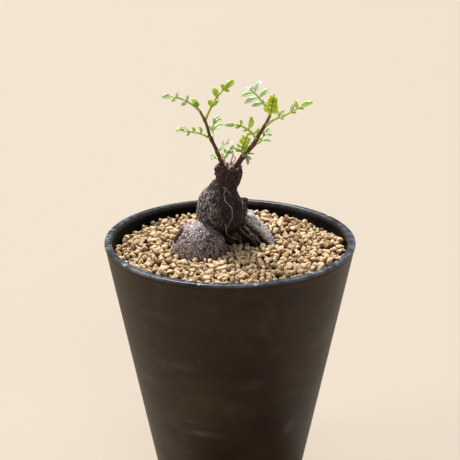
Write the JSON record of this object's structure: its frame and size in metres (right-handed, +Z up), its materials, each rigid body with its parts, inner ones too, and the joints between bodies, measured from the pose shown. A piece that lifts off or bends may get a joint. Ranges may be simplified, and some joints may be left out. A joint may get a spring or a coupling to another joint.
{
  "type": "potted succulent plant",
  "caption": "Small caudex tree in a deep round tapered pot of grit: a swollen knobbly trunk with bare woody shoots and small feathered leaves.",
  "frame": {"origin": "centre of the pot's foot, on the surface that it stands on", "axes": "+Z up along the pot's axis, +X to the right of the front view, -Y towards the front"},
  "size_m": [0.09, 0.09, 0.1542],
  "materials": {
    "pot_plastic": "matt dark brown-black moulded plastic, glossier on the lip",
    "grit": "dry matt pale tan fired-clay grains",
    "bark": "rough grey-brown bark, pale grey and wrinkled on the exposed roots",
    "twig": "smooth red-brown young bark",
    "dry_stalk": "dry pinkish-brown stalk",
    "leaf": "semi-gloss mid green leaf with a pale sheen",
    "young_leaf": "semi-gloss yellow-green young leaf"
  },
  "bodies": {
    "root": {"pot": "pot_plastic", "grit": "grit", "caudex": "bark", "shoot_left": "twig", "shoot_right": "twig", "dry_stalk": "dry_stalk", "leaf_left_top": "leaf", "leaf_left_high": "leaf", "leaf_left_mid": "leaf", "leaf_left_rear": "leaf", "leaf_left_low": "leaf", "leaf_left_inner": "leaf", "leaf_crown": "leaf", "leaf_right_top": "leaf", "leaf_right_side": "leaf", "leaf_right_mid": "leaf", "leaf_right_rear": "leaf", "leaf_right_low": "leaf", "leaf_right_young": "young_leaf", "leaf_centre_young": "young_leaf"}
  },
  "joints": []
}
